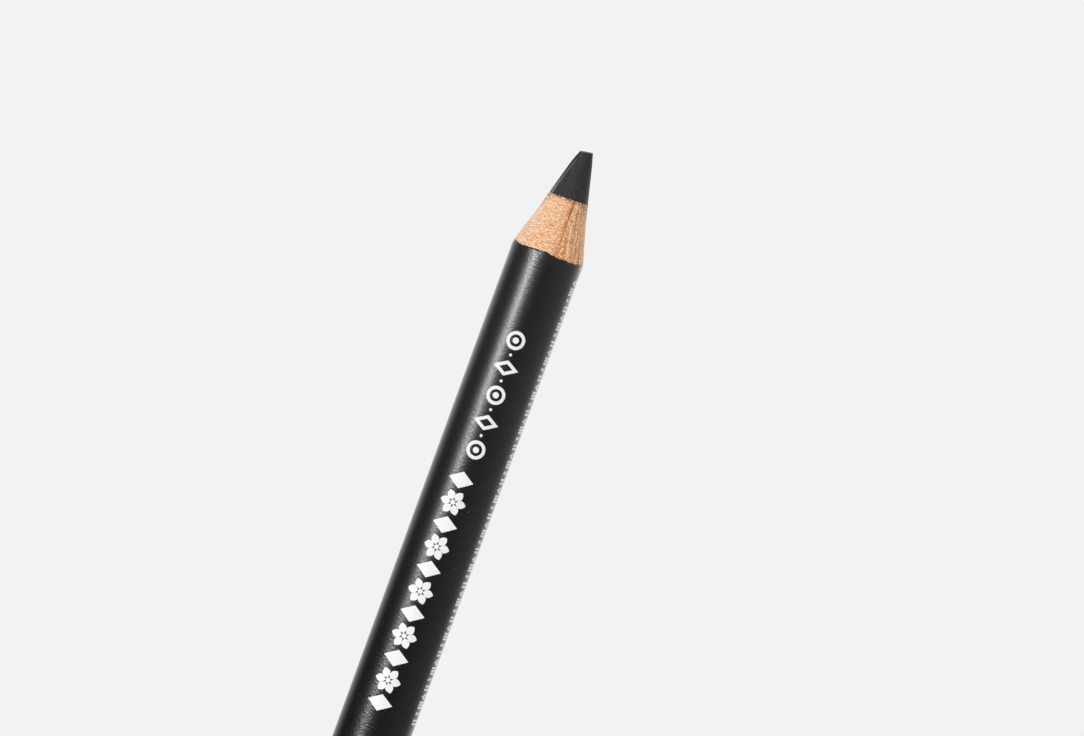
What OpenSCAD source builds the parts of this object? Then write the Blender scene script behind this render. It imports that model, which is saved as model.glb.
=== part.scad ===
// Round cosmetic pencil in a two-slat wooden casing, sharpened, standing on its dipped butt end.
// Millimetres. The pencil's axis is +Z, the butt rests on z = 0, the front is -Y and right is +X.

/* [Barrel] */
// Outside diameter of the lacquered barrel
barrel_d = 7.5; // [6.4:0.1:10]
// Length from the butt to the top of the tip
pencil_length = 128; // [60:1:180]
// Thickness of the lacquer on the barrel
lacquer_t = 0.08; // [0.05:0.01:0.2]

/* [Lead] */
// Diameter of the lead
lead_d = 4.1; // [2.5:0.1:4.6]
// How far the lead and the glued joint lie to the right of the barrel's centre
lead_offset = 0.1; // [0:0.05:0.3]

/* [Casing] */
// Turn of the glued joint about the axis, from front towards right, in degrees
joint_turn = 13; // [-60:1:60]
// Thickness of the glue film between the slats and around the lead
glue_t = 0.03; // [0.01:0.01:0.1]

/* [Sharpened point] */
// Half angle of the cone where it starts at the lacquer, in degrees
shoulder_angle = 17.3; // [15:0.1:24]
// Half angle of the cone where it runs to the tip, in degrees
taper_angle = 14.5; // [11:0.1:20]
// Diameter at which the steeper cone passes into the slimmer one
knee_d = 5.2; // [4.8:0.1:5.8]
// Lean of the point to the right, from a sharpener held askew, in degrees
point_lean = 0.7; // [0:0.1:2]

/* [Worn tip] */
// Width of the worn flat on the tip
worn_d = 1.45; // [0.6:0.05:2.2]
// Slant of the worn flat, highest on the right, in degrees
worn_slant = 8; // [0:0.5:20]
// Turn of the slant's high side about the axis, from right towards back, in degrees
worn_turn = 20; // [-40:5:60]
// Width of the bevel rubbed round the worn flat
worn_bevel = 0.12; // [0.04:0.02:0.2]

/* [Scraped side of the lead] */
// Turn of the scraped side about the axis, from front towards left, in degrees
scrape_turn = 77; // [0:1:180]
// Angle of the lead's girth that the scraped side takes, in degrees
scrape_width = 34; // [10:1:50]
// Length of sound lead left above the scraped side
scrape_end = 1; // [0.4:0.1:2]

/* [Butt end] */
// Thickness of the dipped end
dip_t = 0.8; // [0.4:0.05:1.5]
// Radius of the dipped end's rounded edge
dip_edge_r = 0.4; // [0.1:0.05:0.5]

/* [Hidden] */
$fn = 96;

barrel_r = barrel_d / 2;
wood_r = barrel_r - lacquer_t;
lead_r = lead_d / 2;
groove_r = lead_r + glue_t;
knee_r = knee_d / 2;
worn_r = worn_d / 2;
flat_r = worn_r - worn_bevel;

// Heights on the point's own axis, from the shoulder where the cone leaves the lacquer
knee_h = (barrel_r - knee_r) / tan(shoulder_angle);
apex_h = knee_h + knee_r / tan(taper_angle);
worn_h = apex_h - worn_r / tan(taper_angle);
lead_h = apex_h - lead_r / tan(taper_angle);
shoulder_z = pencil_length - worn_h;

// What is cut away reaches this far past the surfaces that it cuts
clear = 1;
cut_r = barrel_r + clear;
cut_h = apex_h + clear;

// The fillet on the dip stays within its thickness
edge_r = min(dip_edge_r, dip_t);

left_wood_colour = [0.87, 0.69, 0.52];
right_wood_colour = [0.76, 0.57, 0.41];
lead_colour = [0.22, 0.22, 0.23];
lacquer_colour = [0.09, 0.09, 0.1];

// Places its children on the point's own axis, which leans from the shoulder's centre
module on_point_axis() {
    translate([0, 0, shoulder_z])
        rotate([0, point_lean, 0])
            children();
}

// Everything that the sharpener takes off, outside its two cones
module shavings() {
    on_point_axis()
        rotate_extrude()
            polygon([
                [cut_r, -clear / tan(shoulder_angle)],
                [knee_r, knee_h],
                [0, apex_h],
                [0, cut_h],
                [cut_r, cut_h]
            ]);
}

// What wears off the tip: all above a slanted plane, and a bevel round it
module worn_off() {
    on_point_axis()
        rotate([0, 0, worn_turn])
            translate([flat_r, 0, worn_h])
                rotate([0, -worn_slant, 0])
                    translate([-flat_r, 0, 0])
                        rotate_extrude()
                            polygon([
                                [0, 0],
                                [flat_r, 0],
                                [worn_r + worn_bevel, -2 * worn_bevel],
                                [worn_r + clear, -2 * worn_bevel],
                                [worn_r + clear, cut_h - worn_h],
                                [0, cut_h - worn_h]
                            ]);
}

// A flat through the cone's apex, so that its two edges run along the lead as straight lines
module scraped_off() {
    flat_angle = atan(tan(taper_angle) * cos(scrape_width / 2));
    on_point_axis()
        rotate([0, 0, -90 - scrape_turn])
            translate([0, 0, apex_h])
                rotate([0, -flat_angle, 0])
                    translate([0, -lead_r, -(apex_h - lead_h) / cos(flat_angle)])
                        cube([clear, lead_d, (worn_h - scrape_end - lead_h) / cos(flat_angle)]);
}

// A round bar of the casing from the dip upwards, longer than the pencil before it is sharpened
module bar(r) {
    translate([0, 0, dip_t])
        cylinder(h = pencil_length + clear - dip_t, r = r);
}

// One slat: half of the bar on the given side of the glued joint, grooved for the lead and sharpened
module slat(side) {
    difference() {
        intersection() {
            bar(wood_r);
            translate([lead_offset, 0, 0])
                rotate([0, 0, joint_turn])
                    translate([side * (glue_t / 2 + barrel_d / 2), 0, pencil_length / 2])
                        cube([barrel_d, 2 * barrel_d, pencil_length + 2 * clear], center = true);
        }
        translate([lead_offset, 0, -clear])
            cylinder(h = pencil_length + 3 * clear, r = groove_r);
        shavings();
    }
}

module left_slat() {
    color(left_wood_colour)
        slat(-1);
}

module right_slat() {
    color(right_wood_colour)
        slat(1);
}

module lead() {
    color(lead_colour)
        difference() {
            translate([lead_offset, 0, 0])
                bar(lead_r);
            shavings();
            worn_off();
            scraped_off();
        }
}

module lacquer() {
    color(lacquer_colour)
        difference() {
            bar(barrel_r);
            translate([0, 0, -clear])
                cylinder(h = pencil_length + 3 * clear, r = wood_r);
            shavings();
        }
}

module end_dip() {
    color(lacquer_colour)
        rotate_extrude()
            union() {
                square([barrel_r - edge_r, dip_t]);
                translate([0, edge_r])
                    square([barrel_r, dip_t - edge_r]);
                intersection() {
                    translate([barrel_r - edge_r, edge_r])
                        circle(edge_r);
                    square([barrel_r, dip_t]);
                }
            }
}

left_slat();
right_slat();
lead();
lacquer();
end_dip();
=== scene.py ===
"""A sharpened eyeliner pencil: its cut wood, lead, lacquer and print, and the studio that shows them."""

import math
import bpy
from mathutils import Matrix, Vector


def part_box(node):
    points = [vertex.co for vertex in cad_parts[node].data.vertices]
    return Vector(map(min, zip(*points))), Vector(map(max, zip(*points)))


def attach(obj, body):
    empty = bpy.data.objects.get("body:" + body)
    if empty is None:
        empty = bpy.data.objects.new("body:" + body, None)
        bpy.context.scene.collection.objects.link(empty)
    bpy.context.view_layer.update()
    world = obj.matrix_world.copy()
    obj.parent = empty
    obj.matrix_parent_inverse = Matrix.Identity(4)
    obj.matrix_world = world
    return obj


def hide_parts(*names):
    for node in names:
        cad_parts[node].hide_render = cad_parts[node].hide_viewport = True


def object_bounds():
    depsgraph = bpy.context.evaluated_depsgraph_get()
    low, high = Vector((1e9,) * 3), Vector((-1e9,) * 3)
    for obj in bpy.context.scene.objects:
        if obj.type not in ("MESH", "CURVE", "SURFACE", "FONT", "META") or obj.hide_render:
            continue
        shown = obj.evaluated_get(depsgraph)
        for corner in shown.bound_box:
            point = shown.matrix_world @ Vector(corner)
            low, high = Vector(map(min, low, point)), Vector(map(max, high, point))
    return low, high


bl_info = {
    "name": "Eyeliner pencil",
    "version": (1, 0, 0),
    "blender": (4, 5, 0),
    "location": "3D View > Sidebar > Pencil",
    "description": "Dresses a packed pencil with its cut wood, worn lead, lacquer and print",
    "category": "Add Mesh",
}

import bmesh
import bpy
from bpy.props import FloatProperty, FloatVectorProperty, PointerProperty
from bpy.types import Operator, Panel, PropertyGroup
from mathutils import Matrix, Vector, noise

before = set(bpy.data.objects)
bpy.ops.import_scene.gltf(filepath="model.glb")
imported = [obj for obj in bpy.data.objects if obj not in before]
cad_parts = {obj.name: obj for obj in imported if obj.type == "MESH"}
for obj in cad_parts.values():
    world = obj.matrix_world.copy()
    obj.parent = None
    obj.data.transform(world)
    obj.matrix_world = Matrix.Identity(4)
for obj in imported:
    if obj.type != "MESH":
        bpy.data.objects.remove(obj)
CAD_LOW, CAD_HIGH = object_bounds()

MM = 0.001
BODY = "root"

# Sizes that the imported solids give
PENCIL_LENGTH = CAD_HIGH.z
BARREL_RADIUS = CAD_HIGH.x
DIP_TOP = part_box("end_dip")[1].z
LEAD_LOW, LEAD_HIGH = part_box("lead")
LEAD_RADIUS = (LEAD_HIGH.x - LEAD_LOW.x) / 2
LEAD_CENTRE = Vector(((LEAD_LOW.x + LEAD_HIGH.x) / 2, 0, 0))

# The barrel's own centre line
AXIS = Vector((0, 0, 0))

# What each vertex of a spun outline belongs to, and the share that marks the ring just under the rim
STILL, BARREL, CUT, LIP, RIM, END = range(6)
UNDER_RIM = -1

# How many steps round the axis each piece is spun in
SLAT_STEPS, LEAD_STEPS, COAT_STEPS, DIP_STEPS = 264, 360, 720, 180

# A distance too small to see, which keeps two surfaces or two rows of vertices apart
HAIR = 0.001 * MM

# How far below the wood's edge the lead's cut side starts, and about what share of that side this takes up
BURIED = 0.7 * MM
BURIED_SHARE = 0.11

# Width of the strips into which flat ink is cut before it is bent round the barrel
STRIP = 0.2 * MM

# Radius in millimetres at which the materials measure arcs round the pencil
ARC_RADIUS = 3

# Vertices closer than this are merged
MERGE = 1e-8

# A distance from the scraped side's edge at which nothing of it shows
FAR = 1.0


def length(name, millimetres, description):
    """A size that the sidebar shows in the scene's unit of length."""
    return FloatProperty(name=name, description=description, default=millimetres * MM,
                         unit="LENGTH", precision=6)


def angle(name, degrees, description):
    """An angle that the sidebar shows in degrees."""
    return FloatProperty(name=name, description=description, default=math.radians(degrees),
                         unit="ROTATION")


def amount(name, value, description):
    """A plain number without a unit."""
    return FloatProperty(name=name, description=description, default=value, precision=3)


def paint(name, red, green, blue, description):
    """A colour given as a display shows it, from 0 to 255, and kept as linear light."""
    linear = tuple(((part / 255 + 0.055) / 1.055) ** 2.4 if part > 10 else part / 255 / 12.92
                   for part in (red, green, blue))
    return FloatVectorProperty(name=name, description=description, default=linear,
                               subtype="COLOR", size=3, min=0.0, max=1.0)


class PencilPoint(PropertyGroup):
    """Sizes of the sharpened wood and the worn lead."""

    shoulder_angle: angle("Shoulder angle", 17.3, "Half angle of the cone where it leaves the lacquer")
    taper_angle: angle("Taper angle", 14.5, "Half angle of the cone where it runs to the tip")
    knee_width: length("Knee width", 5.2, "Width at which the steeper cone passes into the slimmer one")
    lean: angle("Lean", 0.7, "Lean of the point to the right")
    worn_width: length("Worn width", 1.45, "Width of the worn flat on the tip")
    worn_slant: angle("Worn slant", 10.8, "Slant of the worn flat, highest on its right")
    worn_turn: angle("Worn turn", 20, "Turn of the slant's high side from right towards back")
    worn_bevel: length("Worn bevel", 0.12, "Width of the bevel rubbed round the worn flat")
    rub_length: length("Rubbed length", 1.3, "How far below the worn flat the lead is rubbed rounder")
    rub_depth: length("Rubbed depth", 0.05, "How much the rubbed lead has lost at its edge")
    scrape_turn: angle("Scrape turn", 77, "Turn of the scraped side from front towards left")
    scrape_depth: length("Scrape depth", 0.07, "Depth of the scraped side at the wood")
    scrape_top: length("Scrape top", 0.12, "Depth of the scraped side at the tip")
    lead_swell: length("Lead swell", 0.002, "How far the lead bulges between its ends")
    edge_rise: length("Wood edge rise", 0.075, "How far the torn wood reaches up on the lead")
    fibre_length: length("Fibre length", 0.11, "Length of the torn fibres at the wood's edge")
    scallop_depth: length("Scallop depth", 0.095, "Sag of the lacquer's rim between two cusps")


class PencilBarrel(PropertyGroup):
    """Sizes of the casing, the coat and the ink."""

    joint_turn: angle("Joint turn", 13, "Turn of the glued joint from front towards right")
    glue: length("Glue", 0.008, "Thickness of the glue film that shows")
    coat: length("Coat", 0.05, "Thickness of the lacquer that shows at its cut rim")
    ink: length("Ink", 0.012, "Thickness of the ink on the lacquer")
    dip_edge: length("Dip edge", 0.4, "Radius of the dipped end's rounded edge")
    seam: length("Seam", 0.03, "Width of the crease between the barrel and the dipped end")


class PencilPrint(PropertyGroup):
    """Sizes of the printed ornaments."""

    bold_start: length("Bold start", 68.66, "Height at which the bold row starts")
    bold_arc: length("Bold place", -0.385, "Arc from the front to the middle of the bold row")
    bold_height: length("Bold size", 2.6, "Size of the bold ornaments round the barrel")
    bold_gap: length("Bold gap", 0.2, "Gap between two bold ornaments")
    light_start: length("Light start", 95.5, "Height at which the light row starts")
    light_arc: length("Light place", -0.015, "Arc from the front to the middle of the light row")
    light_height: length("Light size", 1.9, "Size of the light ornaments round the barrel")
    light_stroke: length("Light stroke", 0.33, "Width of the light strokes")
    light_gap: length("Light gap", 0.42, "Gap between two light ornaments")
    fine_start: length("Fine start", 68.1, "Height at which the fine row starts")
    fine_end: length("Fine end", 115.7, "Height at which the fine row ends")
    fine_arc: length("Fine place", 4.8, "Arc from the front to the middle of the fine row")
    fine_height: length("Fine size", 1.35, "Size of the fine ornaments round the barrel")
    fine_stroke: length("Fine stroke", 0.22, "Width of the fine strokes")
    fine_pitch: length("Fine pitch", 0.915, "Distance from one fine ornament to the next")


class PencilColours(PropertyGroup):
    """Colours of the pencil's surfaces."""

    pale_base: paint("Pale wood", 240, 196, 154, "The left slat's main colour")
    pale_side: paint("Pale wood side", 237, 212, 188, "The left slat's colour at its side")
    pale_fleck: paint("Pale wood fleck", 227, 153, 92, "The darker flecks in the left slat")
    pale_dark: paint("Pale wood speck", 212, 132, 66, "The darkest specks in the left slat")
    pale_cream: paint("Pale wood cream", 250, 222, 198, "The lighter flecks in the left slat")
    brown_base: paint("Brown wood", 253, 194, 138, "The right slat's main colour")
    brown_streak: paint("Brown wood streak", 234, 156, 94, "The darker streaks in the right slat")
    brown_dark: paint("Brown wood speck", 195, 116, 60, "The darkest marks in the right slat")
    brown_cream: paint("Brown wood cream", 255, 228, 200, "The lighter streaks in the right slat")
    glue_line: paint("Glue line", 162, 80, 36, "The glued joint between the slats")
    smudge: paint("Smudge", 112, 88, 58, "Lead rubbed into the wood")
    lead: paint("Lead", 48, 48, 49, "The lead's main colour")
    # Pale grey of the lead's scrape marks and of dust on the lacquer, also used for painted highlights on
    # the lead's scraped side and under the lacquer's rim
    lead_pale: paint("Lead scrape", 104, 104, 106, "Scrape marks on the lead")
    lacquer: paint("Lacquer", 7, 7, 7, "The lacquer's own colour under its gloss")
    # A bluish tint painted just under the rim, standing in for the tint of the lacquer's dark reflections
    # there
    lacquer_rim: paint("Lacquer rim", 8, 12, 17, "The lacquer's own colour just under its cut rim")
    ink: paint("Ink", 239, 239, 239, "The ink of the ornaments")


class PencilStudio(PropertyGroup):
    """The camera, the floor and the light."""

    lens: amount("Lens", 200, "Focal length in millimetres")
    distance: length("Distance", 600.5, "Distance from the camera to what it looks at")
    aim_side: length("Aim side", 3.358, "What the camera looks at, to the right of the pencil's axis")
    aim_height: length("Aim height", 106.15, "What the camera looks at, above the floor")
    elevation: angle("Elevation", 3.0, "How far above the horizon the camera stands")
    roll: angle("Roll", 20.06, "Roll of the camera, by which the pencil leans in the picture")
    floor_radius: length("Floor radius", 320, "Radius of the round floor")
    background: amount("Background", 0.888, "Brightness that the camera sees behind the pencil")
    front_light: amount("Front light", 0.4, "Brightness of the room in front")
    side_light: amount("Side light", 0.47, "Brightness that the room adds at the right, a little behind")
    back_light: amount("Back light", 0.75, "Brightness that the room adds behind the pencil")
    strip_light: amount("Strip light", 21.3, "Brightness of the upright strip of light")
    strip_turn: angle("Strip turn", 36.0, "Turn of the top of the strip of light from front towards left")
    strip_lean: angle("Strip lean", 4.3, "How much further to the left the foot of the strip stands")
    strip_width: angle("Strip width", 15.3, "How softly the strip of light fades to its sides")


def settings(group):
    """One of the scene's groups of settings."""
    return getattr(bpy.context.scene, group)


def ease(value, low, high):
    """Runs smoothly from 0 at low to 1 at high."""
    share = min(max((value - low) / (high - low), 0.0), 1.0)
    return share * share * (3 - 2 * share)


def on_circle(azimuth, radius, height=0.0):
    """A place round the pencil's axis. The azimuth runs from the front towards the right."""
    return Vector((radius * math.sin(azimuth), -radius * math.cos(azimuth), height))


def grain(azimuth, height, arc_size, height_size, seed):
    """Smooth noise round the pencil whose lumps have about the given sizes, and that closes on itself."""
    radius = BARREL_RADIUS / arc_size
    place = on_circle(azimuth, radius, height / height_size)
    return noise.noise(place + Vector((0, 0, seed)))


def bearing(place, centre):
    """The azimuth of a place round an upright centre line."""
    return math.atan2(place.x - centre.x, centre.y - place.y)


def spoke(place, centre):
    """The level direction from an upright centre line to a place."""
    return Vector((place.x - centre.x, place.y - centre.y, 0)).normalized()


# Azimuth in degrees and height in millimetres of the cusps that the sharpener's cuts leave on the rim
RIM_CUSPS = ((-170, 0.05), (-137, 0.02), (-103, 0.06), (-71, 0.05), (-29, -0.05), (-3, 0.06), (33, -0.1),
             (64, -0.03), (98, 0.08), (131, 0.04), (160, 0.05), (190, 0.05))

# Degrees between two cusps where the rim sags by just the scallop depth
CUSP_SPACING = 33


class SharpenedPoint:
    """The cut surfaces of the wood, the lacquer and the lead, on the point's own leaning axis."""

    def __init__(self):
        sizes = settings("pencil_point")
        barrel = settings("pencil_barrel")
        for key in sizes.__annotations__:
            setattr(self, key, getattr(sizes, key))
        self.shoulder_slope = math.tan(self.shoulder_angle)
        self.taper_slope = math.tan(self.taper_angle)
        knee_radius = self.knee_width / 2
        knee_height = (BARREL_RADIUS - knee_radius) / self.shoulder_slope
        self.knee_blend = 0.03 * MM
        self.apex_height = knee_height + knee_radius / self.taper_slope
        self.worn_radius = self.worn_width / 2
        self.worn_height = self.apex_height - self.worn_radius / self.taper_slope
        self.lead_height = self.apex_height - LEAD_RADIUS / self.taper_slope
        self.foot = Vector((0, 0, PENCIL_LENGTH - self.worn_height))
        self.axis = Vector((math.sin(self.lean), 0, math.cos(self.lean)))
        self.right = Vector((math.cos(self.lean), 0, -math.sin(self.lean)))
        self.back = Vector((0, 1, 0))
        self.coat_radius = BARREL_RADIUS - barrel.ink
        self.wood_radius = self.coat_radius - barrel.coat
        self.waves = [self.wave_at(degree) for degree in range(-180, 182)]

    def place(self, azimuth, radius, height):
        """A place in the pencil's frame from one round the leaning axis."""
        outward = self.right * math.sin(azimuth) - self.back * math.cos(azimuth)
        return self.foot + outward * radius + self.axis * height

    def polar(self, place):
        """Azimuth, radius and height of a place, round the leaning axis."""
        offset = place - self.foot
        side = offset.dot(self.right)
        depth = offset.dot(self.back)
        return math.atan2(side, -depth), math.hypot(side, depth), offset.dot(self.axis)

    def settle(self, place, centre, surface):
        """Slides a place level and away from a centre line until it lies on a cut surface."""
        for _ in range(3):
            azimuth, radius, height = self.polar(place)
            place = place + spoke(place, centre) * (surface(azimuth, height) - radius)
        return place

    def wave_at(self, degree):
        """How far the scalloped cut reaches above its mean height: it sags between two cusps."""
        turn = (degree - RIM_CUSPS[0][0]) % 360 + RIM_CUSPS[0][0]
        low, high = next(pair for pair in zip(RIM_CUSPS, RIM_CUSPS[1:]) if turn <= pair[1][0])
        width = high[0] - low[0]
        share = (turn - low[0]) / width
        sag = self.scallop_depth * (width / CUSP_SPACING) ** 2 * 4 * share * (1 - share)
        return (low[1] + (high[1] - low[1]) * share) * MM - sag

    def rim_wave(self, azimuth):
        """The same at any azimuth, read between whole degrees."""
        turn = (math.degrees(azimuth) + 180) % 360
        index = int(turn)
        return self.waves[index] + (self.waves[index + 1] - self.waves[index]) * (turn - index)

    def cut_radius(self, azimuth, height):
        """Radius of the cut cone, with the shallow flats that the scalloped rim shows."""
        fade = 1 - 0.75 * ease(height, 0, self.lead_height)
        height = height - self.rim_wave(azimuth) * fade
        steep = BARREL_RADIUS - height * self.shoulder_slope
        slim = (self.apex_height - height) * self.taper_slope
        return (steep + slim + math.hypot(steep - slim, self.knee_blend)) / 2

    def rim_height(self, azimuth, radius):
        """Height at which the cut reaches a radius on the barrel."""
        return (BARREL_RADIUS - radius) / self.shoulder_slope + self.rim_wave(azimuth)

    def edge_height(self, azimuth):
        """Height of the torn edge of the wood on the lead."""
        slow = grain(azimuth, 0, 1.6 * MM, 1, 3.1)
        torn = grain(azimuth, 0, 0.34 * MM, 1, 7.7)
        fine = grain(azimuth, 0, 0.16 * MM, 1, 1.3)
        fibres = (abs(torn) * 1.6 - 0.4 + fine * 0.5) * self.fibre_length
        tilt = (0.09 * math.sin(azimuth) - 0.12 * math.sin(azimuth) ** 16) * MM
        return self.lead_height + self.edge_rise + tilt + slow * 0.06 * MM + fibres

    def lead_radius(self, azimuth, height):
        """Radius of the lead's own cone, rubbed at the tip, with its scraped side."""
        radius = (self.apex_height - height) * self.taper_slope
        share = min(max((height - self.lead_height) / (self.worn_height - self.lead_height), 0), 1)
        radius += self.lead_swell * 4 * share * (1 - share)
        radius -= self.rub_depth * ease(height, self.worn_height - self.rub_length, self.worn_height)
        away = (azimuth + self.scrape_turn + math.pi) % math.tau - math.pi
        if abs(away) < 1:
            radius = min(radius, (radius - self.scrape(share)) / math.cos(away))
        return radius

    def scrape(self, share):
        """Depth of the scraped side, by the share of the lead's bare length. It is deepest at its top."""
        worn = 0.09 * MM * ease(share, 0.55, 1)
        return self.scrape_depth + (self.scrape_top - self.scrape_depth) * share + worn

    def bare_radius(self, share):
        """Radius of the lead, by the share of its bare length."""
        return LEAD_RADIUS + (self.worn_radius - LEAD_RADIUS) * share

    def scrape_edge(self, share):
        """Azimuth of the scraped side's front edge."""
        return math.acos(1 - self.scrape(share) / self.bare_radius(share)) - self.scrape_turn

    def worn_top(self, azimuth, reach):
        """Height of the worn, slanted flat at a place round the leaning axis."""
        across = reach * math.sin(azimuth - self.worn_turn)
        flat_radius = self.worn_radius - self.worn_bevel
        return self.worn_height - (flat_radius - across) * math.tan(self.worn_slant)


def merge(bm):
    """Merges the vertices that lie in one place."""
    bmesh.ops.remove_doubles(bm, verts=bm.verts, dist=MERGE)


def spun(outline, steps, closed, centre=AXIS, start=0.0, turn=math.tau):
    """Spins an outline of (radius, height, part, share) round an upright line, and returns its bmesh."""
    bm = bmesh.new()
    part = bm.verts.layers.int.new("part")
    share = bm.verts.layers.float.new("share")
    verts = []
    for radius, height, kind, along in outline:
        vert = bm.verts.new(centre + on_circle(start, radius, height))
        vert[part] = kind
        vert[share] = along
        verts.append(vert)
    pairs = list(zip(verts, verts[1:]))
    if closed:
        pairs.append((verts[-1], verts[0]))
    edges = [bm.edges.new(pair) for pair in pairs]
    full = turn == math.tau
    bmesh.ops.spin(bm, geom=verts + edges, cent=centre, axis=(0, 0, 1), angle=turn, steps=steps,
                   use_merge=full)
    merge(bm)
    if not full:
        bmesh.ops.holes_fill(bm, edges=[edge for edge in bm.edges if edge.is_boundary], sides=0)
    return bm, part, share


def steps_between(low, high, count):
    """Even steps from low to high, with both ends."""
    return [low + (high - low) * index / (count - 1) for index in range(count)]


def cut_rows(radius, foot, count):
    """Rows of an outline that are to lie on a cut, each with its share of the cut's length."""
    return [(radius, foot + HAIR * index, CUT, share)
            for index, share in enumerate(steps_between(0, 1, count), start=1)]


def new_object(bm, name, material):
    """Turns a bmesh into an object of one material."""
    mesh = bpy.data.meshes.new(name)
    bm.to_mesh(mesh)
    bm.free()
    mesh.materials.append(material)
    made = bpy.data.objects.new(name, mesh)
    bpy.context.scene.collection.objects.link(made)
    return made


def finish_piece(bm, name, material, slot, *nodes, crease=35):
    """Turns a bmesh into a smooth piece that rides on the pencil and stands for its solids."""
    bmesh.ops.recalc_face_normals(bm, faces=bm.faces)
    piece = new_object(bm, name, material)
    piece.data.shade_smooth()
    piece.data.set_sharp_from_angle(angle=math.radians(crease))
    if nodes:
        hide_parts(*nodes)
    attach(piece, BODY)


def arithmetic(operation):
    """Two methods that add a Math node: the plain one and the reflected one."""
    return (lambda signal, other: signal.shader.math(operation, signal, other),
            lambda signal, other: signal.shader.math(operation, other, signal))


class Signal:
    """An output inside a material. Arithmetic on it adds Math nodes."""

    __add__, __radd__ = arithmetic("ADD")
    __sub__, __rsub__ = arithmetic("SUBTRACT")
    __mul__, __rmul__ = arithmetic("MULTIPLY")
    __truediv__, __rtruediv__ = arithmetic("DIVIDE")

    def __init__(self, shader, socket):
        self.shader = shader
        self.socket = socket

    def __abs__(self):
        return self.shader.math("ABSOLUTE", self)


class Shader:
    """The nodes of a material or of the world."""

    def __init__(self, tree):
        self.tree = tree
        tree.nodes.clear()

    def add(self, kind, inputs=None, output=0, **given):
        """Adds a node and returns an output. Its settings come first, then its sockets' values or links."""
        node = self.tree.nodes.new(kind)
        for key, value in given.items():
            setattr(node, key, value)
        for key, value in (inputs or {}).items():
            if isinstance(value, Signal):
                self.tree.links.new(value.socket, node.inputs[key])
            else:
                node.inputs[key].default_value = value
        return Signal(self, node.outputs[output]) if node.outputs else None

    def math(self, operation, *values):
        """A Math node."""
        return self.add("ShaderNodeMath", dict(enumerate(values)), operation=operation)

    def colour(self, value):
        """A colour as a socket takes it."""
        return value if isinstance(value, Signal) else (*value, 1)

    def blend(self, share, first, second):
        """Mixes two colours, which have sockets 6 and 7 of a Mix node and its output 2."""
        inputs = {"Factor": share, 6: self.colour(first), 7: self.colour(second)}
        return self.add("ShaderNodeMix", inputs, 2, data_type="RGBA")

    def layers(self, base, *layers):
        """Lays colours on a base one after another, each by its share."""
        for share, colour in layers:
            base = self.blend(share, base, colour)
        return base

    def mix(self, share, first, second):
        """Mixes two surfaces."""
        return self.add("ShaderNodeMixShader", {0: share, 1: first, 2: second})

    def ramp(self, value, low, high, **given):
        """Runs evenly from 0 where the value is low to 1 where it is high."""
        inputs = {"Value": value, "From Min": low, "From Max": high}
        return self.add("ShaderNodeMapRange", inputs, **given)

    def ease(self, value, low, high):
        """Runs smoothly from 0 where the value is low to 1 where it is high."""
        return self.ramp(value, low, high, interpolation_type="SMOOTHSTEP")

    def fall(self, value, low, high):
        """Runs smoothly from 1 where the value is low to 0 where it is high."""
        return 1 - self.ease(value, low, high)

    def attribute(self, name):
        """A number that the mesh carries."""
        return self.add("ShaderNodeAttribute", None, "Fac", attribute_name=name)

    def split(self, place):
        """The three numbers of a vector."""
        node = self.add("ShaderNodeSeparateXYZ", {0: place}).socket.node
        return [Signal(self, socket) for socket in node.outputs]

    def vector(self, x, y, z):
        """A vector of three numbers."""
        return self.add("ShaderNodeCombineXYZ", {0: x, 1: y, 2: z})

    def noise(self, x, y, seed, detail=2, distortion=0.0):
        """Noise of about 0 to 1 over two numbers, with lumps about 1 across."""
        inputs = {"Vector": self.vector(x, y, seed), "Scale": 1.0, "Detail": detail}
        return self.add("ShaderNodeTexNoise", {**inputs, "Distortion": distortion})

    def on_pencil(self, turn=0.0):
        """Place to the right, height and arc on the pencil in millimetres, turned about its axis."""
        inputs = {"Vector": self.add("ShaderNodeTexCoord", None, "Object"), "Rotation": (0, 0, turn),
                  "Scale": (1 / MM, 1 / MM, 1 / MM)}
        x, y, z = self.split(self.add("ShaderNodeMapping", inputs))
        return x, z, self.math("ARCTAN2", x, y * -1) * ARC_RADIUS

    def bump(self, height, distance, strength=1.0):
        """A Bump node's normal."""
        return self.add("ShaderNodeBump", {"Height": height, "Distance": distance, "Strength": strength})


def new_material(name):
    """A material with no nodes yet, and its shader."""
    material = bpy.data.materials.new(name)
    material.use_nodes = True
    return material, Shader(material.node_tree)


def surface(shader, colour, roughness, normal, **fixed):
    """Ends a material in a Principled surface. The fixed values go straight to its sockets."""
    inputs = {"Base Color": shader.colour(colour), "Roughness": roughness, "Normal": normal}
    inputs.update({key.replace("_", " "): value for key, value in fixed.items()})
    shader.add("ShaderNodeOutputMaterial", {"Surface": shader.add("ShaderNodeBsdfPrincipled", inputs)})


def shade(colour, factor):
    """A colour made lighter or darker."""
    return [part * factor for part in colour]


def brown_grain(shader, arc, z, high):
    """Streaks along the grain with short, paler and darker marks: the right slat's colour."""
    colours = settings("pencil_colours")
    streaks = shader.noise(arc * 4.0, z * 0.16, 6.0, distortion=0.15)
    short = shader.noise(arc * 6.5, z * 1.5, 2.0, distortion=0.3)
    specks = shader.noise(arc * 6.5, z * 5.5, 12.0, distortion=0.4)
    return shader.layers(
        colours.brown_base,
        (shader.ease(streaks, 0.46, 0.54) * 0.7, colours.brown_streak),
        (shader.fall(streaks, 0.38, 0.44) * 0.5, colours.brown_cream),
        (shader.ease(short, 0.54, 0.6) * (0.65 + high * 0.25), colours.brown_cream),
        (shader.fall(short, 0.39, 0.45) * (0.5 + high * 0.3), colours.brown_dark),
        (shader.ease(streaks, 0.56, 0.62) * 0.75, colours.brown_dark),
        (shader.fall(specks, 0.36, 0.41), colours.brown_dark),
        (shader.ease(specks, 0.6, 0.64), colours.brown_cream))


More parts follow.
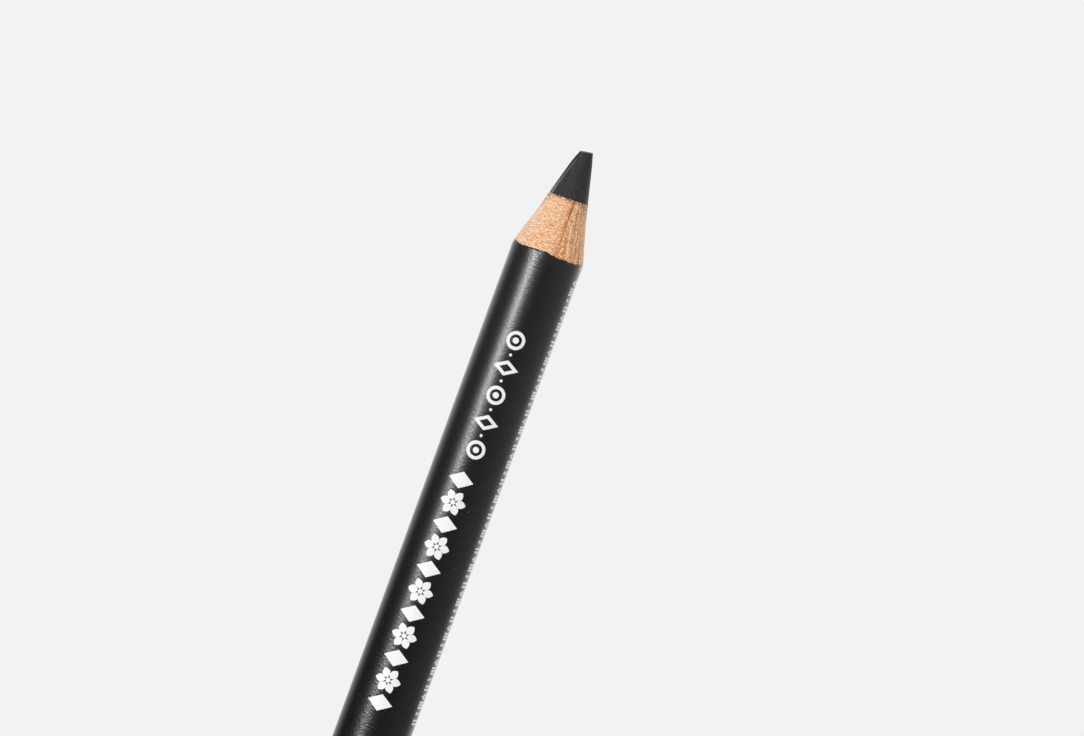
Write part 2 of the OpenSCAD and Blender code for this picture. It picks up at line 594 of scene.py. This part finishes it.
def pale_grain(shader, arc, z):
    """Wavy flecks across the grain, and lengthwise lines near the side: the left slat's colour."""
    colours = settings("pencil_colours")
    wave = shader.noise(arc * 0.7, z * 0.8, 5.0, detail=1) * 3.5
    across = shader.noise(arc * 2.5, z * 8.5 + wave, 0.0, distortion=0.5)
    cream = shader.noise(arc * 2.2 + 9.0, z * 7.5 + wave, 3.0, distortion=0.5)
    specks = shader.noise(arc * 5.5, z * 9.0, 17.0)
    patches = shader.noise(arc * 0.7, z * 0.8, 14.0, detail=1)
    lines = shader.noise(arc * 6.5, z * 0.4, 8.0)
    side = shader.fall(arc, -3.8, -2.4)
    fleck = shader.ease(across, 0.5, 0.56) * (0.5 + shader.ease(patches, 0.35, 0.65) * 0.5)
    return shader.layers(
        colours.pale_base,
        (side, colours.pale_side),
        (fleck * (1 - side * 0.75), colours.pale_fleck),
        (shader.ease(lines, 0.5, 0.56) * (0.1 + side * 0.6), colours.pale_fleck),
        (shader.ease(cream, 0.52, 0.58) * 0.85, colours.pale_cream),
        (shader.ease(across, 0.6, 0.66) * (1 - side), colours.pale_dark),
        (shader.ease(specks, 0.56, 0.61), colours.pale_dark))


def make_wood(name):
    """A slat's cut wood: pale grain at the left of the glued joint, brown grain at its right."""
    colours = settings("pencil_colours")
    material, shader = new_material(name)
    turn = settings("pencil_barrel").joint_turn
    x, z, arc = shader.on_pencil(-turn)
    point = SharpenedPoint()
    base = point.foot.z / MM
    top = base + point.lead_height / MM
    share = shader.ramp(z, base, top)
    high = shader.ease(z, top - 2.8, top - 1.0)

    # Distance from the glue line, which drifts and wanders a little off the joint's plane
    drift = share * 0.3 - 0.16 + (1 - abs(share * 2 - 1.2)) * 0.06
    wander = shader.noise(0.0, z * 1.3, 4.0) * 0.24 - 0.12
    aside = x - LEAD_CENTRE.x / MM - drift + wander

    # The pale slat darkens in spots near the joint, and the brown one has dark dashes beside it
    mottle = shader.noise(arc * 4.0, z * 4.0, 21.0)
    near = shader.ease(aside, -0.5, -0.12) * shader.ease(mottle, 0.45, 0.53)
    dashes = shader.ease(shader.noise(arc * 5.5, z * 4.5, 33.0, distortion=0.4), 0.52, 0.57)
    beside = shader.ease(aside, 0.02, 0.12) * shader.fall(aside, 0.4, 0.85)

    # The glue line is broken low down, and wider and darker near the lead
    patchy = shader.ease(shader.noise(arc * 2.5, z * 1.8, 0.0), 0.36, 0.5)
    strength = (0.5 + high * 0.5) * (patchy * (1 - high * 0.7) + high * 0.7)
    line = shader.fall(abs(aside), 0.03, 0.11 + high * 0.07)

    # Lead is rubbed into the wood below its torn edge, further down at the two sides
    limb = shader.ease(abs(arc + turn * ARC_RADIUS), 1.6, 4.0)
    reach = shader.ease(z, top - 0.4 - limb * 1.3, top)
    specks = shader.ease(shader.noise(arc * 4.2, z * 3.6, 2.0), 0.46, 0.54)
    colour = shader.layers(
        pale_grain(shader, arc, z),
        (near * 0.8, colours.brown_streak),
        (near * shader.ease(mottle, 0.53, 0.58), colours.brown_dark),
        (shader.ease(aside, -0.03, 0.03), brown_grain(shader, arc, z, high)),
        (beside * dashes * 0.65, colours.brown_dark),
        (line * strength, colours.glue_line),
        (reach * specks * 0.85, colours.smudge))
    ripples = shader.noise(arc * 3.5, z * 5.0, 0.0, distortion=0.6)
    surface(shader, colour, 0.62, shader.bump(ripples, 0.03 * MM, 0.6), Specular_IOR_Level=0.3)
    return material


def make_lead():
    """Waxy charcoal lead with slanting scrape marks, and a pale line along its scraped side's edge that is
    a painted highlight.
    """
    colours = settings("pencil_colours")
    material, shader = new_material("cosmetic_lead")
    _, z, arc = shader.on_pencil()
    tip = PENCIL_LENGTH / MM
    slanted = shader.noise(arc * 2.6 - z * 0.9, z * 0.35 + arc * 0.2, 1.0, detail=3)
    patches = shader.noise(arc * 0.5, z * 0.5, 3.0, detail=1)
    marks = shader.ease(slanted, 0.5, 0.7) * shader.ease(patches, 0.35, 0.6)
    mottle = shader.ease(shader.noise(arc * 4.0, z * 3.2, 9.0), 0.42, 0.62)

    # The mesh carries the arc from the scraped side's front edge, along which the painted highlight runs
    edge = shader.attribute("scrape") / MM
    broken = shader.ease(shader.noise(0.0, z * 1.6, 7.0), 0.3, 0.5)
    below = shader.fall(z, tip - 1.3, tip - 1.0)
    # Painted highlight: a pale line along the scraped side's edge, broken here and there, brightest near
    # the wood and gone near the tip
    burr_highlight = shader.fall(abs(edge - 0.035), 0.03, 0.09) * (0.6 + broken * 0.4) * below
    scraped = shader.fall(edge, -0.06, 0.0)
    high = shader.ramp(z, tip - 5.2, tip - 2.0)
    # The scraped side's colour is partly its scraped wax and partly painted light: paler near the wood as a
    # painted highlight, darker than the lead near the tip as painted shade
    tone = shader.blend(high, shade(colours.lead_pale, 1.25), shade(colours.lead, 0.75))
    burr_highlight_colour = shader.blend(high, shade(colours.lead_pale, 1.95), shade(colours.lead_pale, 1.05))
    colour = shader.layers(
        colours.lead,
        (marks * 0.24 + mottle * 0.1, colours.lead_pale),
        (scraped, tone),
        (burr_highlight, burr_highlight_colour))
    fine = shader.noise(arc * 6, z * 6, 0.0)
    normal = shader.bump(slanted * 0.6 + fine * 0.4, 0.012 * MM, 0.5)
    surface(shader, colour, 0.42 + fine * 0.12 + scraped * 0.4, normal, Specular_IOR_Level=0.12)
    return material


def make_lacquer():
    """Glossy black lacquer, grained and dusty, frayed under its cut rim with a pale painted highlight
    there, and a bluish tint just under the rim that is a painted reflection.
    """
    colours = settings("pencil_colours")
    material, shader = new_material("black_lacquer")
    _, z, arc = shader.on_pencil()
    rim = SharpenedPoint().foot.z / MM
    # Painted reflection: the lacquer turns a little bluish just under the rim
    under = shader.ease(z, rim - 1.4, rim)
    frayed = shader.ease(z, rim - 0.75, rim - 0.2)
    fine = shader.noise(arc * 5.5, z * 4.5, 0.0)
    slow = shader.noise(arc * 1.2, z * 0.5, 5.0)
    sandy = shader.noise(arc * 6, z * 6, 21.0, detail=1)
    normal = shader.bump(fine * 0.8 + slow * 0.6 + sandy * 1.15, 0.018 * MM, 0.5)
    # A pale patch under the rim where the strip's highlight falls: frayed lacquer, its paleness a painted
    # highlight
    frayed_highlight = frayed * shader.fall(abs(arc + 1.0), 0.4, 0.8) * shader.ease(fine, 0.44, 0.56)
    places = {"Vector": shader.vector(arc * 0.8, z * 0.8, 0.3), "Scale": 1.0}
    dust = shader.fall(shader.add("ShaderNodeTexVoronoi", places, "Distance"), 0.02, 0.05)
    colour = shader.layers(
        colours.lacquer,
        (under, colours.lacquer_rim),
        (frayed_highlight * 0.6, colours.lead_pale),
        (dust, colours.lead_pale))
    rough = 0.16 + (sandy - 0.5) * 0.4 + frayed * fine * 0.12
    surface(shader, colour, rough, normal, IOR=1.5)
    return material


def make_ink():
    """White printing ink."""
    material, shader = new_material("white_ink")
    _, z, arc = shader.on_pencil()
    ink = settings("pencil_colours").ink
    fine = shader.noise(arc * 6, z * 6, 0.0)
    colour = shader.blend(fine * 0.08, ink, shade(ink, 0.9))
    surface(shader, colour, 0.5, shader.bump(fine, 0.002 * MM, 0.4), Specular_IOR_Level=0.25)
    return material


class PENCIL_OT_casing(Operator):
    """Builds the two glued slats of the casing, with their cut cone and torn edge"""

    bl_idname = "pencil.casing"
    bl_label = "Casing"

    def execute(self, context):
        self.point = SharpenedPoint()
        barrel = settings("pencil_barrel")
        self.groove_radius = LEAD_RADIUS + barrel.glue
        joint = barrel.joint_turn
        normal = Vector((math.cos(joint), math.sin(joint), 0))
        for name, side, slot in (("left_slat", -1, "pale_wood"), ("right_slat", 1, "brown_wood")):
            centre = LEAD_CENTRE + normal * side * barrel.glue / 2
            self.build(name, side, centre, joint, slot)
        return {"FINISHED"}

    def build(self, node, side, centre, joint, slot):
        """One slat: half of a grooved bar, spun from the joint and then cut to the point."""
        low = DIP_TOP
        shoulder = self.point.foot.z
        inner = self.groove_radius
        outer = self.point.wood_radius
        outline = [(inner, low, STILL, 0)]
        outline += [(outer, height, BARREL, 0) for height in steps_between(low, shoulder - 0.6 * MM, 4)]
        outline += cut_rows(outer, shoulder, 90)
        outline += [(inner, shoulder + 0.2 * MM, LIP, 0), (inner, shoulder + 0.1 * MM, LIP, 0.25 * MM)]
        outline += [(inner, shoulder, STILL, 0)]
        bm, part, share = spun(outline, SLAT_STEPS, True, centre, joint, math.pi * side)
        for vert in bm.verts:
            kind = vert[part]
            if kind == BARREL:
                vert.co = self.on_bar(vert.co, centre, outer)
            elif kind in (CUT, LIP):
                vert.co = self.on_cut(vert.co, centre, kind, vert[share])
        finish_piece(bm, node + "_wood", make_wood(slot), slot, node)

    def on_bar(self, place, centre, radius):
        """Slides a place away from the groove's centre onto the round bar."""
        outward = spoke(place, centre)
        along = outward.dot(centre)
        reach = math.sqrt(along * along + radius * radius - centre.length_squared) - along
        return Vector((centre.x, centre.y, place.z)) + outward * reach

    def on_cut(self, place, centre, kind, share):
        """Puts a place on the cut cone, or under the torn lip of the wood on the lead."""
        point = self.point
        azimuth = bearing(place, centre)
        edge = point.edge_height(azimuth)
        foot = point.rim_height(azimuth, point.wood_radius)
        height = edge - share if kind == LIP else foot + (edge - foot) * share
        level = point.place(azimuth, self.wood(azimuth, height), height).z
        place = Vector((place.x, place.y, level))
        return point.settle(place, centre, self.wood if kind == CUT else self.underside)

    def wood(self, azimuth, height):
        """Radius of the cut wood, with its fine relief and the lip that lies on the lead."""
        point = self.point
        lip = ease(height, point.lead_height - 0.3 * MM, point.lead_height) * 0.014 * MM
        streaks = grain(azimuth, height, 0.2 * MM, 2.2 * MM, 0.4)
        lumps = grain(azimuth, height, 0.3 * MM, 0.16 * MM, 5.2)
        away = ease(height, 0, 0.3 * MM)
        relief = (streaks * 0.6 + lumps * 0.5) * 0.012 * MM * away
        return point.cut_radius(azimuth, height) + point.lead_swell * away + lip + relief

    def underside(self, azimuth, height):
        """Radius of the wood's inner face near its torn edge."""
        return min(self.wood(azimuth, height) - 0.008 * MM, self.groove_radius)


class PENCIL_OT_lead(Operator):
    """Builds the lead with its scraped side and worn, slanted tip"""

    bl_idname = "pencil.lead"
    bl_label = "Lead"

    def execute(self, context):
        self.point = SharpenedPoint()
        point = self.point
        low = DIP_TOP
        buried = point.foot.z + point.lead_height - BURIED
        high = PENCIL_LENGTH
        outline = [(0, low, STILL, 0)]
        outline += [(LEAD_RADIUS, height, STILL, 0) for height in steps_between(low, buried, 4)]
        outline += cut_rows(LEAD_RADIUS, buried, 110)
        outline += [(LEAD_RADIUS * share, high, END, share) for share in steps_between(1, 0, 9)]
        bm, part, share = spun(outline, LEAD_STEPS, False, LEAD_CENTRE)
        scrape = bm.verts.layers.float.new("scrape")
        for vert in bm.verts:
            kind = vert[part]
            azimuth = bearing(vert.co, LEAD_CENTRE)
            vert[scrape] = FAR
            if kind == CUT:
                vert.co = self.side(azimuth, vert[share])
                bare = max(vert[share] - BURIED_SHARE, 0) / (1 - BURIED_SHARE)
                vert[scrape] = (azimuth - point.scrape_edge(bare)) * point.bare_radius(bare)
            elif kind == END:
                vert.co = self.end(azimuth, vert[share])
        merge(bm)
        finish_piece(bm, "lead_stick", make_lead(), "cosmetic_lead", "lead", crease=28)
        return {"FINISHED"}

    def brim(self, azimuth):
        """Height of the side's upper end, under the bevel round the worn flat."""
        return self.point.worn_top(azimuth, self.point.worn_radius) - 0.07 * MM

    def side(self, azimuth, share):
        """A place on the side of the lead."""
        point = self.point
        low = point.lead_height - BURIED
        height = low + (self.brim(azimuth) - low) * share
        radius = point.lead_radius(azimuth, height)
        radius += grain(azimuth, height, 0.5 * MM, 0.5 * MM, 2.5) * 0.004 * MM
        place = point.place(azimuth, radius, height)
        reach = math.hypot(place.x - LEAD_CENTRE.x, place.y)
        if reach > LEAD_RADIUS:
            on_stick = LEAD_CENTRE + spoke(place, LEAD_CENTRE) * LEAD_RADIUS
            place = Vector((on_stick.x, on_stick.y, place.z))
        return place

    def end(self, azimuth, share):
        """A place on the worn flat or its rubbed edge."""
        point = self.point
        brim = self.brim(azimuth)
        reach = point.lead_radius(azimuth, brim) * share
        top = point.worn_top(azimuth, reach)
        if share == 1:
            return point.place(azimuth, reach * 0.985, brim + (top - brim) * 0.75)
        return point.place(azimuth, reach, top + grain(azimuth, reach, 2 * MM, 0.3 * MM, 9.0) * 0.006 * MM)


class PENCIL_OT_lacquer(Operator):
    """Builds the coat of lacquer with its scalloped, chipped rim"""

    bl_idname = "pencil.lacquer"
    bl_label = "Lacquer"

    def execute(self, context):
        point = SharpenedPoint()
        barrel = settings("pencil_barrel")
        outer = point.coat_radius
        inner = point.wood_radius
        shoulder = point.foot.z
        outline = [(inner, DIP_TOP, STILL, 0), (outer - barrel.seam, DIP_TOP, STILL, 0)]
        outline += [(outer, height, STILL, 0)
                    for height in steps_between(DIP_TOP + barrel.seam, shoulder - 1 * MM, 8)]
        outline += [(outer, shoulder - 0.5 * MM, STILL, 0), (outer, shoulder - 0.2 * MM, RIM, UNDER_RIM)]
        outline += [(outer + (inner - outer) * share, shoulder + 0.01 * MM * share, RIM, share)
                    for share in (0.0, 0.12, 0.5, 1.0)]
        bm, part, share = spun(outline, COAT_STEPS, True)
        for vert in bm.verts:
            if vert[part] == RIM:
                vert.co = self.rim(point, vert.co, vert[share])
        finish_piece(bm, "lacquer_coat", make_lacquer(), "black_lacquer", "lacquer")
        return {"FINISHED"}

    def rim(self, point, place, share):
        """A place on the cut rim, where small chips are broken from its outer edge."""
        outer = point.coat_radius
        azimuth = bearing(place, AXIS)
        chips = abs(grain(azimuth, 0, 0.5 * MM, 1, 4.4)) ** 2 * 0.16 * MM
        chips += max(grain(azimuth, 0, 0.22 * MM, 1, 8.1) - 0.06, 0) * 0.16 * MM
        if share == UNDER_RIM:
            height = point.rim_height(azimuth, outer) - 0.15 * MM
            return Vector((place.x, place.y, point.place(azimuth, outer, height).z))
        radius = outer + (point.wood_radius - outer) * share
        height = point.rim_height(azimuth, radius) + 0.03 * MM - chips * (1 - share * 0.3)
        if share == 0:
            height -= 0.02 * MM
        level = point.place(azimuth, radius, height).z
        dulled = ease(-math.sin(azimuth), 0.8, 1) * 0.045 * MM * (1 - share)
        inward = (radius - dulled) / radius
        return Vector((place.x * inward, place.y * inward, level))


class PENCIL_OT_end_dip(Operator):
    """Builds the dipped end that closes the butt"""

    bl_idname = "pencil.end_dip"
    bl_label = "Dipped end"

    def execute(self, context):
        barrel = settings("pencil_barrel")
        outer = SharpenedPoint().coat_radius
        edge = barrel.dip_edge
        arc = [(outer - edge + edge * math.sin(turn), edge - edge * math.cos(turn))
               for turn in steps_between(0, math.pi / 2, 9)]
        outline = [(0, 0), ((outer - edge) / 2, 0), *arc, (outer, DIP_TOP - barrel.seam),
                   (outer - barrel.seam, DIP_TOP), (0, DIP_TOP)]
        bm = spun([(*place, STILL, 0) for place in outline], DIP_STEPS, False)[0]
        material = bpy.data.materials.get("black_lacquer") or make_lacquer()
        finish_piece(bm, "end_dip_coat", material, "black_lacquer", "end_dip")
        return {"FINISHED"}


class Stencil:
    """Flat ornaments on the unrolled barrel, which are then cut, thickened and wrapped round it."""

    def __init__(self):
        self.bm = bmesh.new()

    def lay(self, made, place, size, turn=0.0):
        """Brings a new flat shape to a size, a turn and a place, and returns its face."""
        matrix = Matrix.Translation((*place, 0)) @ Matrix.Rotation(turn, 4, "Z")
        matrix = matrix @ Matrix.Diagonal((*size, 1, 1))
        bmesh.ops.transform(self.bm, matrix=matrix, verts=made["verts"])
        return made["verts"][0].link_faces[0]

    def bar(self, place, size, turn=0.0):
        """A bar."""
        made = bmesh.ops.create_grid(self.bm, x_segments=1, y_segments=1, size=0.5)
        self.lay(made, place, size, turn)

    def disc(self, place, size, sides=32):
        """A disc, or with four sides a lozenge. Returns its face."""
        made = bmesh.ops.create_circle(self.bm, cap_ends=True, segments=sides, radius=0.5)
        return self.lay(made, place, size)

    def leaf(self, place, size, turn):
        """A pointed leaf, longest along the barrel."""
        made = bmesh.ops.create_circle(self.bm, cap_ends=True, segments=32, radius=0.5)
        for vert in made["verts"]:
            vert.co.x *= math.sqrt(max(1 - (2 * vert.co.y) ** 2, 0))
        self.lay(made, place, size, turn)

    def hollow(self, face, stroke):
        """Leaves only a stroke along the outline of a shape."""
        bmesh.ops.inset_individual(self.bm, faces=[face], thickness=stroke, use_even_offset=True)
        bmesh.ops.delete(self.bm, geom=[face], context="FACES")

    def wrap(self, radius, ink):
        """Cuts the shapes into narrow strips, thickens them and bends them round the barrel."""
        merge(self.bm)
        arcs = [vert.co.x for vert in self.bm.verts]
        for index in range(math.floor(min(arcs) / STRIP), math.ceil(max(arcs) / STRIP)):
            geometry = [*self.bm.verts, *self.bm.edges, *self.bm.faces]
            bmesh.ops.bisect_plane(self.bm, geom=geometry, dist=MERGE, plane_co=(index * STRIP, 0, 0),
                                   plane_no=(1, 0, 0))
        faces = list(self.bm.faces)
        raised = bmesh.ops.extrude_face_region(self.bm, geom=faces, use_keep_orig=True)["geom"]
        verts = [item for item in raised if isinstance(item, bmesh.types.BMVert)]
        bmesh.ops.translate(self.bm, verts=verts, vec=(0, 0, 2 * ink))
        for vert in self.bm.verts:
            arc, height, rise = vert.co
            vert.co = on_circle(arc / radius, radius - ink + rise, height)


def begin_row(operator, row):
    """Gives an operator an empty stencil and the sizes of its row."""
    operator.stencil = Stencil()
    sizes = settings("pencil_print")
    for key in sizes.__annotations__:
        if key.startswith(row):
            setattr(operator, key[len(row) + 1:], getattr(sizes, key))


def lay_row(operator, ornaments):
    """Lays ornament after ornament along the barrel, each by the operator's own method for it."""
    low = operator.start
    for kind, width in ornaments:
        getattr(operator, kind)(low + width * MM / 2, width * MM)
        low += width * MM + operator.gap


def print_row(operator, name):
    """Wraps an operator's row round the barrel and finishes it as one piece of ink."""
    ink = settings("pencil_barrel").ink
    operator.stencil.wrap(BARREL_RADIUS - ink - HAIR, ink)
    material = bpy.data.materials.get("white_ink") or make_ink()
    finish_piece(operator.stencil.bm, name, material, "white_ink")


# Each bold ornament and its width along the barrel in millimetres
BOLD_ROW = (("lozenge", 1.75), *(("rosette", 2.57), ("lozenge", 1.75)) * 5)

# Each light ornament and its width along the barrel in millimetres
LIGHT_ROW = (("target", 1.9), *(("dot", 0.3), ("open_lozenge", 1.6), ("dot", 0.3), ("target", 1.9)) * 2)

# The fine ornaments, which come in this order over and over, and where the parts of each lie
FINE_ROW = (("bar", (-0.2, 0.2)), ("dot", (-0.36, 0, 0.36)), ("bar", (-0.32, 0, 0.32)), ("lozenge", (0,)))


class PENCIL_OT_bold_row(Operator):
    """Prints the row of bold ornaments on the front of the barrel"""

    bl_idname = "pencil.bold_row"
    bl_label = "Bold ornaments"

    def execute(self, context):
        begin_row(self, "bold")
        lay_row(self, BOLD_ROW)
        print_row(self, "bold_ornaments")
        return {"FINISHED"}

    def lozenge(self, middle, width):
        """A slim lozenge across the row."""
        self.stencil.disc((self.arc, middle), (self.height, width), sides=4)

    def rosette(self, middle, width):
        """Six petals round a disc."""
        reach = width / 2
        for index in range(6):
            turn = index * math.pi / 3 + math.pi / 6
            place = (self.arc - math.sin(turn) * reach * 0.62, middle + math.cos(turn) * reach * 0.62)
            self.stencil.leaf(place, (reach * 0.62, reach * 0.84), turn)
        self.stencil.disc((self.arc, middle), (reach * 0.38, reach * 0.38))


class PENCIL_OT_light_row(Operator):
    """Prints the row of light ornaments above the bold ones"""

    bl_idname = "pencil.light_row"
    bl_label = "Light ornaments"

    def execute(self, context):
        begin_row(self, "light")
        lay_row(self, LIGHT_ROW)
        print_row(self, "light_ornaments")
        return {"FINISHED"}

    def target(self, middle, width):
        """A ring round a dot."""
        ring = self.stencil.disc((self.arc, middle), (self.height, width), sides=40)
        self.stencil.hollow(ring, self.stroke)
        self.stencil.disc((self.arc, middle), (self.stroke * 1.9, self.stroke * 1.9))

    def open_lozenge(self, middle, width):
        """The outline of a lozenge, longer than the rings are wide."""
        shape = self.stencil.disc((self.arc, middle), (self.height * 1.4, width), sides=4)
        self.stencil.hollow(shape, self.stroke)

    def dot(self, middle, width):
        """A dot."""
        self.stencil.disc((self.arc, middle), (width, width))


class PENCIL_OT_fine_row(Operator):
    """Prints the row of tiny ornaments at the right side of the barrel"""

    bl_idname = "pencil.fine_row"
    bl_label = "Fine ornaments"

    def execute(self, context):
        begin_row(self, "fine")
        for index in range(math.floor((self.end - self.start) / self.pitch)):
            kind, offsets = FINE_ROW[index % len(FINE_ROW)]
            for offset in offsets:
                getattr(self, kind)(self.start + (index + 0.5) * self.pitch, offset)
        self.tick(self.end + 1.2 * MM)
        print_row(self, "fine_ornaments")
        return {"FINISHED"}

    def bar(self, middle, offset):
        """One of two or three bars round the barrel, one above the other."""
        self.stencil.bar((self.arc, middle + offset * self.pitch), (self.height, self.stroke))

    def dot(self, middle, offset):
        """One of three dots side by side."""
        width = self.height * 0.28
        self.stencil.disc((self.arc + offset * self.height, middle), (width, width), sides=16)

    def lozenge(self, middle, offset):
        """The outline of a lozenge."""
        place = (self.arc, middle + offset * self.pitch)
        self.stencil.hollow(self.stencil.disc(place, (self.height, self.pitch * 0.8), sides=4), self.stroke)

    def tick(self, middle):
        """A short slanted bar just under the cut rim."""
        self.stencil.bar((self.arc - 0.12 * MM, middle), (0.6 * MM, self.stroke * 1.2), math.radians(50))


class PENCIL_OT_stage(Operator):
    """Sets up the pale floor, the light and the camera"""

    bl_idname = "pencil.stage"
    bl_label = "Stage"

    def execute(self, context):
        studio = settings("pencil_studio")
        context.scene.view_settings.view_transform = "Standard"
        self.make_world(context.scene, studio)
        self.make_floor(studio)
        self.make_camera(context.scene, studio)
        return {"FINISHED"}

    def make_world(self, scene, studio):
        """A room with a soft upright strip of light, and one plain tone to the camera."""
        world = bpy.data.worlds.new("studio")
        world.use_nodes = True
        scene.world = world
        shader = Shader(world.node_tree)
        x, y, z = shader.split(shader.add("ShaderNodeTexCoord", None, "Generated"))
        azimuth = shader.math("ARCTAN2", x, y * -1)

        # The strip of light stands in front to the left. It ends above, and its foot leans and blurs
        foot = 1 - shader.ramp(z, -0.126, 0.0)
        reach = (azimuth + studio.strip_turn + foot * studio.strip_lean) / studio.strip_width
        falloff = 1 + reach * reach / (0.95 + foot * 0.5)
        tall = (1 - foot) * shader.fall(z, 0.1, 0.28)
        strip = tall * studio.strip_light / (falloff * falloff)

        # The room's own light comes from the front, from the back, and from 25 degrees behind the right
        front = studio.front_light * shader.ramp(z, -0.14, -0.04)
        back = shader.ease(y, 0.2, 0.85) * studio.back_light
        side_turn = math.radians(25)
        towards = x * math.cos(side_turn) + y * math.sin(side_turn)
        side = shader.ramp(towards, -0.3, 1.0) * shader.ramp(z, -0.25, -0.04) * studio.side_light
        room = front + strip + back + side
        seen = shader.add("ShaderNodeLightPath", None, "Is Camera Ray")
        inputs = {"Strength": room * (1 - seen) + seen * studio.background, "Color": (1, 1, 1, 1)}
        shader.add("ShaderNodeOutputWorld", {"Surface": shader.add("ShaderNodeBackground", inputs)})

    def make_floor(self, studio):
        """A pale floor with the pencil's shadow, lost in the background further off, clear from below."""
        bm = bmesh.new()
        bmesh.ops.create_circle(bm, cap_ends=True, segments=96, radius=studio.floor_radius)
        material, shader = new_material("floor")
        floor = new_object(bm, "floor", material)
        corner = shader.add("ShaderNodeTexCoord", None, "Object")
        reach = shader.add("ShaderNodeVectorMath", {0: corner}, "Value", operation="LENGTH")
        seen = shader.add("ShaderNodeLightPath", None, "Is Camera Ray")
        below = shader.add("ShaderNodeNewGeometry", None, "Backfacing")
        lit = shader.add("ShaderNodeBsdfDiffuse", {"Color": (0.86, 0.86, 0.86, 1)})
        plain = shader.add("ShaderNodeEmission", {"Strength": studio.background})
        clear = shader.add("ShaderNodeBsdfTransparent")
        far = shader.ease(reach, studio.floor_radius * 0.25, studio.floor_radius * 0.875)
        sheet = shader.mix(below * seen, shader.mix(far * seen, lit, plain), clear)
        shader.add("ShaderNodeOutputMaterial", {"Surface": sheet})

    def make_camera(self, scene, studio):
        """The camera, a little above the horizon and rolled."""
        data = bpy.data.cameras.new("camera")
        data.lens = studio.lens
        data.clip_start = 0.01
        data.clip_end = 100
        camera = bpy.data.objects.new("camera", data)
        scene.collection.objects.link(camera)
        aim = Vector((studio.aim_side, 0, studio.aim_height))
        back = Vector((0, -math.cos(studio.elevation), math.sin(studio.elevation)))
        side = Vector((1, 0, 0))
        rise = back.cross(side)
        right = side * math.cos(studio.roll) + rise * math.sin(studio.roll)
        up = rise * math.cos(studio.roll) - side * math.sin(studio.roll)
        turned = Matrix((right, up, back)).transposed().to_4x4()
        camera.matrix_world = Matrix.Translation(aim + back * studio.distance) @ turned
        scene.camera = camera


class PENCIL_PT_sidebar(Panel):
    """Lists the pencil's pieces and settings"""

    bl_idname = "PENCIL_PT_sidebar"
    bl_label = "Pencil"
    bl_space_type = "VIEW_3D"
    bl_region_type = "UI"
    bl_category = "Pencil"

    def draw(self, context):
        for operator in OPERATORS:
            self.layout.operator(operator.bl_idname)
        for group in GROUPS:
            box = self.layout.box()
            box.label(text=group.replace("_", " ").capitalize())
            values = getattr(context.scene, group)
            for key in values.__annotations__:
                box.prop(values, key)


GROUPS = {
    "pencil_point": PencilPoint,
    "pencil_barrel": PencilBarrel,
    "pencil_print": PencilPrint,
    "pencil_colours": PencilColours,
    "pencil_studio": PencilStudio,
}

OPERATORS = (
    PENCIL_OT_casing,
    PENCIL_OT_lead,
    PENCIL_OT_lacquer,
    PENCIL_OT_end_dip,
    PENCIL_OT_bold_row,
    PENCIL_OT_light_row,
    PENCIL_OT_fine_row,
    PENCIL_OT_stage,
)


def register():
    """Registers the settings, the operators and the panel."""
    for name, group in GROUPS.items():
        bpy.utils.register_class(group)
        setattr(bpy.types.Scene, name, PointerProperty(type=group))
    for operator in OPERATORS:
        bpy.utils.register_class(operator)
    bpy.utils.register_class(PENCIL_PT_sidebar)


def unregister():
    """Removes what register added."""
    bpy.utils.unregister_class(PENCIL_PT_sidebar)
    for operator in reversed(OPERATORS):
        bpy.utils.unregister_class(operator)
    for name, group in GROUPS.items():
        delattr(bpy.types.Scene, name)
        bpy.utils.unregister_class(group)


def main():
    """Builds the pencil and its stage in order."""
    register()
    for operator in OPERATORS:
        area, name = operator.bl_idname.split(".")
        getattr(getattr(bpy.ops, area), name)()


if __name__ == "__main__":
    main()
